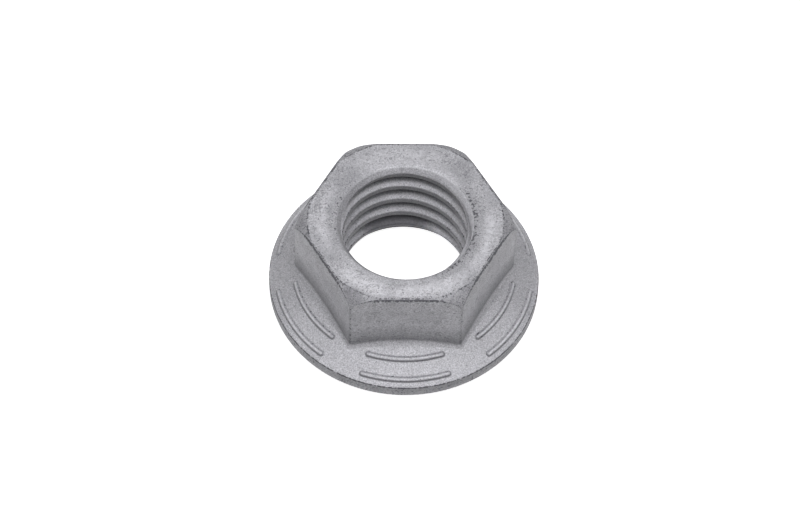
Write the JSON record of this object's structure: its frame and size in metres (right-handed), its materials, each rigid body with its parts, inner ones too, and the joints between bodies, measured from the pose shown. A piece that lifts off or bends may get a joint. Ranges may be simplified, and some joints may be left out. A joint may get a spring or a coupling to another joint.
{
  "type": "serrated flange nut",
  "caption": "Hexagon flange nut with a conical collar, concentric raised arcs over its flats, ratchet serrations on the bearing face and a coarse threaded through hole.",
  "frame": {"origin": "centre of the bearing face, on the thread axis", "axes": "+Z along the thread axis, away from the bearing face and towards the domed end; one flat of the hexagon faces -Y and two corners lie on X"},
  "size_m": [0.0186, 0.0186, 0.0077],
  "materials": {
    "zinc_flake_steel": "matt grey zinc-flake coating, lightly marked at the edges"
  },
  "bodies": {
    "root": {"flange_nut": "zinc_flake_steel"}
  },
  "joints": []
}
